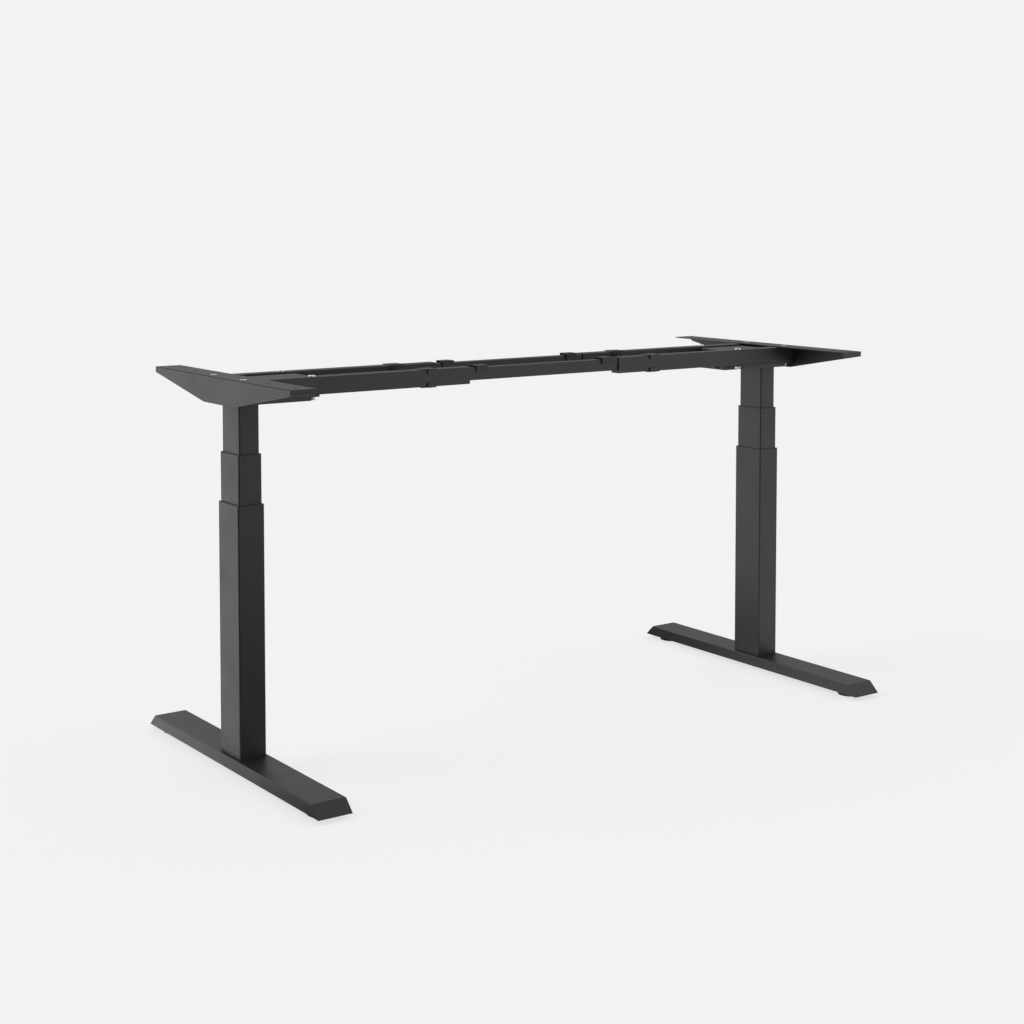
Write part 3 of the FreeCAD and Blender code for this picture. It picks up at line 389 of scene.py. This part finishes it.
def bracket_seam(face):
    """The rounded edge along the bracket's top on its outer side, where two sheets meet."""
    normal, place = face.normal, face.calc_center_median()
    slanted = normal.z > 0.2 and abs(normal.x) > 0.2 and abs(normal.y) < 0.1
    return slanted and place.z > OUTER_TOP - SEAM_REACH and abs(place.x) > OUTER_SIDE - SEAM_REACH


def open_ends(least, most):
    """Picks the ends along the rail whose area lies between these: a clamp's hooks or a saddle's
    ends, which are hollow behind their rims."""
    return lambda face: abs(face.normal.x) > 0.99 and least < face.calc_area() / MM ** 2 < most


def softened(node, edge, seam=None, hollow=None):
    """The same piece with its edges rounded over, as folding, moulding and paint leave them, with
    the rounded edges that the seam picks pressed in, and the ends that hollow picks opened."""
    piece = bpy.data.objects.new(node + "_finished", nodes[node].data.copy())
    bpy.context.scene.collection.objects.link(piece)
    take(piece)
    bpy.ops.mesh.customdata_custom_splitnormals_clear()
    edit(piece)
    bpy.ops.mesh.select_all(action="SELECT")
    bpy.ops.mesh.remove_doubles(threshold=MERGE_GAP)
    bpy.ops.mesh.dissolve_limited(angle_limit=radians(FLAT_ANGLE))
    close()
    rounding = piece.modifiers.new("rounding", "BEVEL")
    rounding.width = edge
    rounding.segments = 2
    rounding.limit_method = "ANGLE"
    rounding.angle_limit = radians(CORNER_ANGLE)
    bpy.ops.object.modifier_apply(modifier=rounding.name)
    if seam:
        edit(piece)
        pick("faces", seam)
        bpy.ops.mesh.extrude_region_shrink_fatten(
            TRANSFORM_OT_shrink_fatten={"value": -SEAM_DEPTH})
        close()
    if hollow:
        edit(piece)
        pick("faces", hollow)
        bpy.ops.mesh.inset(thickness=END_RIM, use_individual=True)
        bpy.ops.mesh.extrude_faces_move(TRANSFORM_OT_shrink_fatten={"value": -END_DEPTH})
        close()
    smooth(piece)
    evening = piece.modifiers.new("evening", "WEIGHTED_NORMAL")
    evening.keep_sharp = True
    bpy.ops.object.modifier_apply(modifier=evening.name)
    fitted(piece, SLOTS[node], BODIES[node], node)


def painted_and_moulded():
    for side in SIDES:
        softened(f"{side}_side_bracket", FOLD_EDGE, bracket_seam)
        for name in PAINTED:
            softened(f"{side}_{name}", PAINT_EDGE)
        for name in MOULDED:
            softened(f"{side}_{name}", MOULD_EDGE)
        for end in ENDS:
            softened(f"{side}_clamp_{end}", CLIP_EDGE, hollow=open_ends(*HOOK_ENDS))
            softened(f"{side}_guide_{end}", CLIP_EDGE, hollow=open_ends(*SADDLE_ENDS))
    for end in ENDS:
        softened(f"centre_rail_{end}", PAINT_EDGE)


# Screws and pads ------------------------------------------------------------------------------

HEAD_RADIUS, HEAD_HEIGHT, HEAD_ROUND = 7 * MM, 2 * MM, 1.1 * MM
HEAD_SOCKET = (5 * MM, 1.4 * MM)     # across flats and deep, as every socket's sizes are
NUT_RADIUS, NUT_HEIGHT, NUT_CHAMFER = 6.4 * MM, 5 * MM, 0.6 * MM
BOLT_RADIUS, BOLT_PITCH = 4 * MM, 1.25 * MM
FOOT_HEAD_RADIUS, FOOT_HEAD_HEIGHT, FOOT_HEAD_ROUND = 5.2 * MM, 4 * MM, 0.8 * MM
FOOT_SOCKET = (4 * MM, 2 * MM)
FOOT_BOLT_RADIUS, FOOT_BOLT_PITCH = 3 * MM, 1 * MM
PAD_HEIGHT, PAD_ROUND, PAD_RIBS = 5 * MM, 0.9 * MM, 0.5 * MM
DISH_INSET, DISH_DEPTH = 6 * MM, 0.8 * MM
NECK_RADIUS, NECK_LOW, NECK_HIGH, NECK_CHAMFER = 7.5 * MM, 4 * MM, 9 * MM, 0.5 * MM
STUD_RADIUS, STUD_LOW = 4 * MM, 8 * MM
KNOB_RADIUS, KNOB_HEIGHT, KNOB_ROUND, KNURL = 7 * MM, 6 * MM, 0.6 * MM, 0.35 * MM
KNOB_SOCKET = (4 * MM, 2.6 * MM)
CLAMP_SHANK_RADIUS = 3 * MM
KNOB_TOP = 29 * MM                   # how far the knobs' tops stay off the frame's middle line
LEAD_WIDTH, LEAD_HEIGHT, LEAD_DEPTH = 17 * MM, 4 * MM, 7 * MM
LEAD_ACROSS, LEAD_UP, LEAD_ROOM = 15.5 * MM, 5.6 * MM, 0.3 * MM
PIN_PLACES = (-0.3, -0.1, 0.1, 0.3)  # shares of the socket's width
COVER_HEAD_RADIUS, COVER_HEAD_HEIGHT, COVER_HEAD_ROUND = 2.6 * MM, 1.6 * MM, 0.8 * MM
COVER_SOCKET = (2 * MM, 0.9 * MM)
COVER_SCREW_IN, COVER_SCREW_UP, COVER_SCREW_ROOT = 5 * MM, 9.5 * MM, 1 * MM


def to_hexagon(flats):
    """Moves the selected ring of points onto a hexagon that measures flats across."""
    mesh = bmesh.from_edit_mesh(bpy.context.object.data)
    for point in mesh.verts:
        if point.select:
            angle = atan2(point.co.y, point.co.x)
            reach = flats / 2 / cos(angle % (pi / 3) - pi / 6)
            point.co.x, point.co.y = reach * cos(angle), reach * sin(angle)
    bmesh.update_edit_mesh(bpy.context.object.data)


def sunk_socket(radius, top, socket, rim):
    """Works a hexagonal socket into the top face of the open mesh and rounds its rim."""
    flats, depth = socket
    mouth, lip = 0.62 * flats, 0.06 * flats
    pick("faces", lambda face: facing_up(face) and face.calc_center_median().z > top - NEAR)
    bpy.ops.mesh.inset(thickness=radius - mouth)
    bpy.ops.mesh.inset(thickness=lip)
    to_hexagon(flats)
    bpy.ops.mesh.extrude_region_move(TRANSFORM_OT_translate={"value": (0, 0, -depth)})
    at_top = level_at(top)
    pick("edges", lambda edge: at_top(edge)
         and min(point.co.xy.length for point in edge.verts) > 0.98 * radius)
    bpy.ops.mesh.bevel(offset=rim, segments=4)


def turn_of(face):
    """Where an upright face comes in the order round Z: by the way it faces, then by its place."""
    place = face.calc_center_median()
    return round(atan2(face.normal.y, face.normal.x), 3), round(atan2(place.y, place.x), 3)


def ribbed(depth):
    """Presses every other upright face of the open turned piece in, which leaves grip ribs."""
    mesh = bmesh.from_edit_mesh(bpy.context.object.data)
    around = sorted((face for face in mesh.faces if abs(face.normal.z) < 0.1), key=turn_of)
    pressed = {face.index for face in around[::2]}
    pick("faces", lambda face: face.index in pressed)
    bpy.ops.mesh.extrude_faces_move(TRANSFORM_OT_shrink_fatten={"value": -depth})


def head_bolt(low, high):
    """A button-head bolt down through the rail and head plate, and its chamfered nut."""
    head_low = high - HEAD_HEIGHT
    head = cylinder(HEAD_RADIUS, head_low, high, sides=48)
    edit(head)
    sunk_socket(HEAD_RADIUS, high, HEAD_SOCKET, HEAD_ROUND)
    close()
    shank = threaded(BOLT_RADIUS, low, head_low, BOLT_PITCH)
    nut = cylinder(NUT_RADIUS, low, low + NUT_HEIGHT, sides=6)
    edit(nut)
    pick("edges", lambda edge: level(edge) is not None)
    bpy.ops.mesh.bevel(offset=NUT_CHAMFER, segments=2)
    close()
    return smooth(joined([head, shank, nut], "head_bolt"))


def head_bolts():
    """Each head bolt stands over the corner of the head plate that the frame gives it."""
    low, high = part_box("left_head_bolts")
    bolt = head_bolt(low.z, high.z)
    for side in SIDES:
        node = f"{side}_head_bolts"
        low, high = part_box(node)
        for along, x in (("outer", low.x + HEAD_RADIUS), ("inner", high.x - HEAD_RADIUS)):
            for end, y in zip(ENDS, (low.y + HEAD_RADIUS, high.y - HEAD_RADIUS)):
                move = Matrix.Translation((x, y, 0))
                twin = copied(bolt, f"{side}_{along}_{end}_head_bolt", move)
                fitted(twin, "bright_screws", BODIES[node], node)
    bpy.data.objects.remove(bolt)


def foot_bolts():
    """Four socket bolts in each foot, heads down, at the corners that the frame gives them."""
    reach = FOOT_HEAD_RADIUS
    low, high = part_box("left_foot_bolts")
    head = cylinder(reach, -FOOT_HEAD_HEIGHT, 0, sides=40)
    edit(head)
    sunk_socket(reach, 0, FOOT_SOCKET, FOOT_HEAD_ROUND)
    close()
    shank = threaded(FOOT_BOLT_RADIUS, low.z - high.z, -FOOT_HEAD_HEIGHT, FOOT_BOLT_PITCH)
    bolt = smooth(joined([head, shank], "foot_bolt"), THREAD_ANGLE)
    for side in SIDES:
        node = f"{side}_foot_bolts"
        low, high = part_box(node)
        for row, x in (("left", low.x + reach), ("right", high.x - reach)):
            for end, y in zip(ENDS, (low.y + reach, high.y - reach)):
                move = Matrix.Translation((x, y, low.z)) @ Matrix.Rotation(pi, 4, "X")
                twin = copied(bolt, f"{side}_foot_{row}_{end}_bolt", move)
                fitted(twin, "black_screws", BODIES[node], node)
    bpy.data.objects.remove(bolt)


def levelling_pad():
    """A ribbed levelling pad with a hexagonal neck on its stud."""
    low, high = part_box("left_leveller_front")
    radius = (high.x - low.x) / 2
    pad = cylinder(radius, 0, PAD_HEIGHT, sides=96)
    edit(pad)
    pick("edges", lambda edge: level(edge) is not None)
    bpy.ops.mesh.bevel(offset=PAD_ROUND, segments=3)
    ribbed(PAD_RIBS)
    pick("faces", lambda face: facing_up(face) and face.calc_area() > radius * radius)
    bpy.ops.mesh.inset(thickness=DISH_INSET, depth=-DISH_DEPTH)
    close()
    neck = cylinder(NECK_RADIUS, NECK_LOW, NECK_HIGH, sides=6)
    edit(neck)
    pick("edges", lambda edge: level(edge) is not None)
    bpy.ops.mesh.bevel(offset=NECK_CHAMFER, segments=2)
    close()
    stud = threaded(STUD_RADIUS, STUD_LOW, high.z, BOLT_PITCH)
    smooth(pad), smooth(neck), smooth(stud, THREAD_ANGLE)
    return pad, joined([neck, stud], "levelling_stud")


def levelling_pads():
    """A pad and its stud under each end of the feet, where the frame has its plain ones."""
    pad, stud = levelling_pad()
    for side in SIDES:
        for end in ENDS:
            node = f"{side}_leveller_{end}"
            place = middle(node)
            move = Matrix.Translation((place.x, place.y, 0))
            fitted(copied(pad, node + "_pad", move), "pads", BODIES[node], node)
            fitted(copied(stud, node + "_stud", move), "black_screws", BODIES[node], node)
    bpy.data.objects.remove(pad)
    bpy.data.objects.remove(stud)


def clamp_screw(length):
    """A clamp's thumb screw on the Z axis, its tip at the origin and its knurled head on top."""
    head_low = length - KNOB_HEIGHT
    knob = cylinder(KNOB_RADIUS, head_low, length, sides=60)
    edit(knob)
    sunk_socket(KNOB_RADIUS, length, KNOB_SOCKET, KNOB_ROUND)
    ribbed(KNURL)
    close()
    shank = cylinder(CLAMP_SHANK_RADIUS, 0, head_low, sides=32)
    return smooth(joined([knob, shank], "clamp_screw"))


def clamp_screws():
    """One screw in each clamp, its knurled head on the inner side and its tip in the rail."""
    for side in SIDES:
        node = f"{side}_clamp_screws"
        low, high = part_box(node)
        screw = clamp_screw(high.y - KNOB_TOP)
        place = middle(node)
        for end, turn, y in zip(ENDS, (-pi / 2, pi / 2), (low.y, high.y)):
            move = Matrix.Translation((place.x, y, place.z)) @ Matrix.Rotation(turn, 4, "X")
            twin = copied(screw, f"{side}_clamp_screw_{end}", move)
            fitted(twin, "black_screws", BODIES[node], node)
        bpy.data.objects.remove(screw)


def lead_socket(width, height, depth):
    """A moulded socket that opens towards +Y, its mouth's middle at the origin, with its pins."""
    wall, lip, pocket = 0.18 * height, 0.06 * height, 0.7 * depth
    pin_radius, pin_round = 0.09 * height, 0.04 * height
    pin_length, pin_middle = 0.6 * depth, -0.42 * depth
    pin_tip = pin_middle + pin_length / 2
    bpy.ops.mesh.primitive_cube_add(size=1, location=(0, -depth / 2, 0),
                                    scale=(width, depth, height))
    housing = settle(bpy.context.object, "lead_socket")
    edit(housing)
    pick("faces", lambda face: face.normal.y > 0.9)
    bpy.ops.mesh.inset(thickness=wall)
    bpy.ops.mesh.extrude_region_move(TRANSFORM_OT_translate={"value": (0, -pocket, 0)})
    pick("edges", lambda edge: all(abs(point.co.y) < NEAR for point in edge.verts))
    bpy.ops.mesh.bevel(offset=lip, segments=2)
    close()
    pins = []
    for place in PIN_PLACES:
        bpy.ops.mesh.primitive_cylinder_add(vertices=12, radius=pin_radius, depth=pin_length,
                                            location=(place * width, pin_middle, 0),
                                            rotation=(pi / 2, 0, 0))
        pin = settle(bpy.context.object, "pin")
        edit(pin)
        pick("edges", lambda edge: all(point.co.y > pin_tip - NEAR for point in edge.verts))
        bpy.ops.mesh.bevel(offset=pin_round, segments=2)
        close()
        pins.append(pin)
    return smooth(housing), smooth(joined(pins, "socket_pins"))


def cover_screw():
    """A small pan-head screw whose head stands towards +Z from the origin."""
    head = cylinder(COVER_HEAD_RADIUS, -COVER_SCREW_ROOT, COVER_HEAD_HEIGHT, sides=32)
    edit(head)
    sunk_socket(COVER_HEAD_RADIUS, COVER_HEAD_HEIGHT, COVER_SOCKET, COVER_HEAD_ROUND)
    close()
    return smooth(head)


def motor_covers():
    """Each motor cover's end has a lead socket low on one side, and a small screw at each edge."""
    housing, pins = lead_socket(LEAD_WIDTH - LEAD_ROOM, LEAD_HEIGHT - LEAD_ROOM, LEAD_DEPTH)
    screw = cover_screw()
    for side, facing in zip(SIDES, (1, -1)):
        node = f"{side}_motor_cover"
        low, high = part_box(node)
        face = high.x if facing > 0 else low.x
        place = (face - facing * LEAD_ROOM, facing * LEAD_ACROSS, low.z + LEAD_UP)
        move = Matrix.Translation(place) @ Matrix.Rotation(-facing * pi / 2, 4, "Z")
        fitted(copied(housing, f"{side}_lead_socket", move), "black_plastic", BODIES[node])
        fitted(copied(pins, f"{side}_lead_socket_pins", move), "bright_steel", BODIES[node])
        turn = Matrix.Rotation(facing * pi / 2, 4, "Y")
        for end, y in zip(ENDS, (low.y + COVER_SCREW_IN, high.y - COVER_SCREW_IN)):
            move = Matrix.Translation((face, y, low.z + COVER_SCREW_UP)) @ turn
            fitted(copied(screw, f"{side}_cover_screw_{end}", move), "black_screws", BODIES[node])
    for sample in (housing, pins, screw):
        bpy.data.objects.remove(sample)


# Floor, light and camera ---------------------------------------------------------------------

PALE = 0.888                         # the even pale grey of the backdrop, linear
FLOOR_SIZE = 400
FLOOR_MATT, FLOOR_GLOW = 0.22, 0.702  # what the camera sees: the share that shadows dim, the rest
FLOOR_SHARE = 0.80                   # how much of the studio's light the floor gives back
FLOOR_SHIFT = (-0.15, 0.1, 0)        # evens out the floor's light round the feet
FLOOR_DIM, WALL_DIM = 0.24, 0.07     # the light where no soft light reaches
# Each soft light: the way towards it, the cosine where its edge ends, and its strength.
SOFT_LIGHTS = (((-0.62, 0.78, 0.0), 0.3, 1.38), ((0.80, -0.60, 0.0), 0.0, 1.12),
               ((0.35, 0.52, 0.78), 0.70, 1.25))
# Each sun: its name, the way its light goes, its strength, and how wide it is in degrees.
SUNS = (("key", (0.65, -0.35, -0.7), 0.9, 40), ("fill", (-0.4, 0.2, -0.9), 0.25, 60))
EYE = (-2.1133, -2.9292, 1.0509)
EYE_DOWN, EYE_TURN = 3.318, 35.369   # degrees, down from level and clockwise from +Y
LENS, FILM, LENS_SHIFT = 62.03, 36, -0.2            # millimetres, and a share of the film
SIGHT_END = 1000


def emission(tree, value):
    glow = tree.nodes.new("ShaderNodeEmission")
    glow.inputs["Color"].default_value = (value, value, value, 1)
    return glow.outputs["Emission"]


def split_by_camera(tree, seen, unseen, surface):
    """What the camera sees is even; what lights the frame is not."""
    path = tree.nodes.new("ShaderNodeLightPath")
    mix = tree.nodes.new("ShaderNodeMixShader")
    tree.links.new(path.outputs["Is Camera Ray"], mix.inputs["Fac"])
    tree.links.new(unseen, mix.inputs[1])
    tree.links.new(seen, mix.inputs[2])
    tree.links.new(mix.outputs["Shader"], surface)


def studio_light(tree, outward, dim):
    """How bright the studio is in a direction outward from the frame: soft lights behind on the
    left, in front on the right and high at the back, and a dim rest."""
    light = None
    for towards, edge, strength in SOFT_LIGHTS:
        facing = tree.nodes.new("ShaderNodeVectorMath")
        facing.operation = "DOT_PRODUCT"
        facing.inputs[1].default_value = Vector(towards).normalized()
        spread = tree.nodes.new("ShaderNodeMapRange")
        spread.interpolation_type = "SMOOTHSTEP"
        spread.inputs["From Min"].default_value = edge
        spread.inputs["To Max"].default_value = strength
        tree.links.new(outward, facing.inputs[0])
        tree.links.new(facing.outputs["Value"], spread.inputs["Value"])
        total = tree.nodes.new("ShaderNodeMath")
        total.inputs[1].default_value = dim
        tree.links.new(spread.outputs["Result"], total.inputs[0])
        if light:
            tree.links.new(light, total.inputs[1])
        light = total.outputs["Value"]
    return light


def studio_floor():
    """A wide pale floor that keeps only the frame's soft shadow."""
    bpy.ops.mesh.primitive_grid_add(x_subdivisions=2, y_subdivisions=2, size=FLOOR_SIZE,
                                    location=(0, 0, 0))
    floor = settle(bpy.context.object, "studio_floor")
    material = bpy.data.materials.new("studio_floor")
    material.use_nodes = True
    tree = material.node_tree
    tree.nodes.remove(tree.nodes["Principled BSDF"])
    matt = tree.nodes.new("ShaderNodeBsdfDiffuse")
    matt.inputs["Color"].default_value = (FLOOR_MATT, FLOOR_MATT, FLOOR_MATT, 1)
    both = tree.nodes.new("ShaderNodeAddShader")
    tree.links.new(emission(tree, FLOOR_GLOW), both.inputs[0])
    tree.links.new(matt.outputs["BSDF"], both.inputs[1])
    place = tree.nodes.new("ShaderNodeTexCoord")
    moved = tree.nodes.new("ShaderNodeVectorMath")
    moved.inputs[1].default_value = FLOOR_SHIFT
    outward = tree.nodes.new("ShaderNodeVectorMath")
    outward.operation = "NORMALIZE"
    tree.links.new(place.outputs["Object"], moved.inputs[0])
    tree.links.new(moved.outputs["Vector"], outward.inputs[0])
    bounce = tree.nodes.new("ShaderNodeEmission")
    bounce.inputs["Color"].default_value = (FLOOR_SHARE, FLOOR_SHARE, FLOOR_SHARE, 1)
    light = studio_light(tree, outward.outputs["Vector"], FLOOR_DIM)
    tree.links.new(light, bounce.inputs["Strength"])
    split_by_camera(tree, both.outputs["Shader"], bounce.outputs["Emission"],
                    tree.nodes["Material Output"].inputs["Surface"])
    floor.data.materials.append(material)


def studio_walls():
    """An even pale backdrop for the camera, and the soft lights for the frame."""
    world = bpy.data.worlds.new("studio")
    bpy.context.scene.world = world
    world.use_nodes = True
    tree = world.node_tree
    plain = tree.nodes["Background"]
    plain.inputs["Color"].default_value = (PALE, PALE, PALE, 1)
    place = tree.nodes.new("ShaderNodeTexCoord")
    lit = tree.nodes.new("ShaderNodeBackground")
    light = studio_light(tree, place.outputs["Generated"], WALL_DIM)
    tree.links.new(light, lit.inputs["Strength"])
    split_by_camera(tree, plain.outputs["Background"], lit.outputs["Background"],
                    tree.nodes["World Output"].inputs["Surface"])


def soft_sun(name, direction, strength, spread):
    lamp = bpy.data.lights.new(name, "SUN")
    lamp.energy = strength
    lamp.angle = radians(spread)
    sun = bpy.data.objects.new(name, lamp)
    sun.rotation_euler = Vector(direction).to_track_quat("-Z", "Y").to_euler()
    bpy.context.scene.collection.objects.link(sun)


def camera():
    """A metre up at the left of the frame's front, with the frame high in the view."""
    lens = bpy.data.cameras.new("camera")
    lens.sensor_width = FILM
    lens.lens = LENS
    lens.shift_y = LENS_SHIFT
    lens.clip_end = SIGHT_END
    eye = bpy.data.objects.new("camera", lens)
    eye.location = EYE
    eye.rotation_euler = (radians(90 - EYE_DOWN), 0, radians(-EYE_TURN))
    bpy.context.scene.collection.objects.link(eye)
    bpy.context.scene.camera = eye


dress_frame()
painted_and_moulded()
head_bolts()
foot_bolts()
levelling_pads()
clamp_screws()
motor_covers()

studio_floor()
studio_walls()
for sun in SUNS:
    soft_sun(*sun)
camera()
bpy.context.scene.view_settings.view_transform = "Standard"

bpy.ops.object.select_all(action="DESELECT")
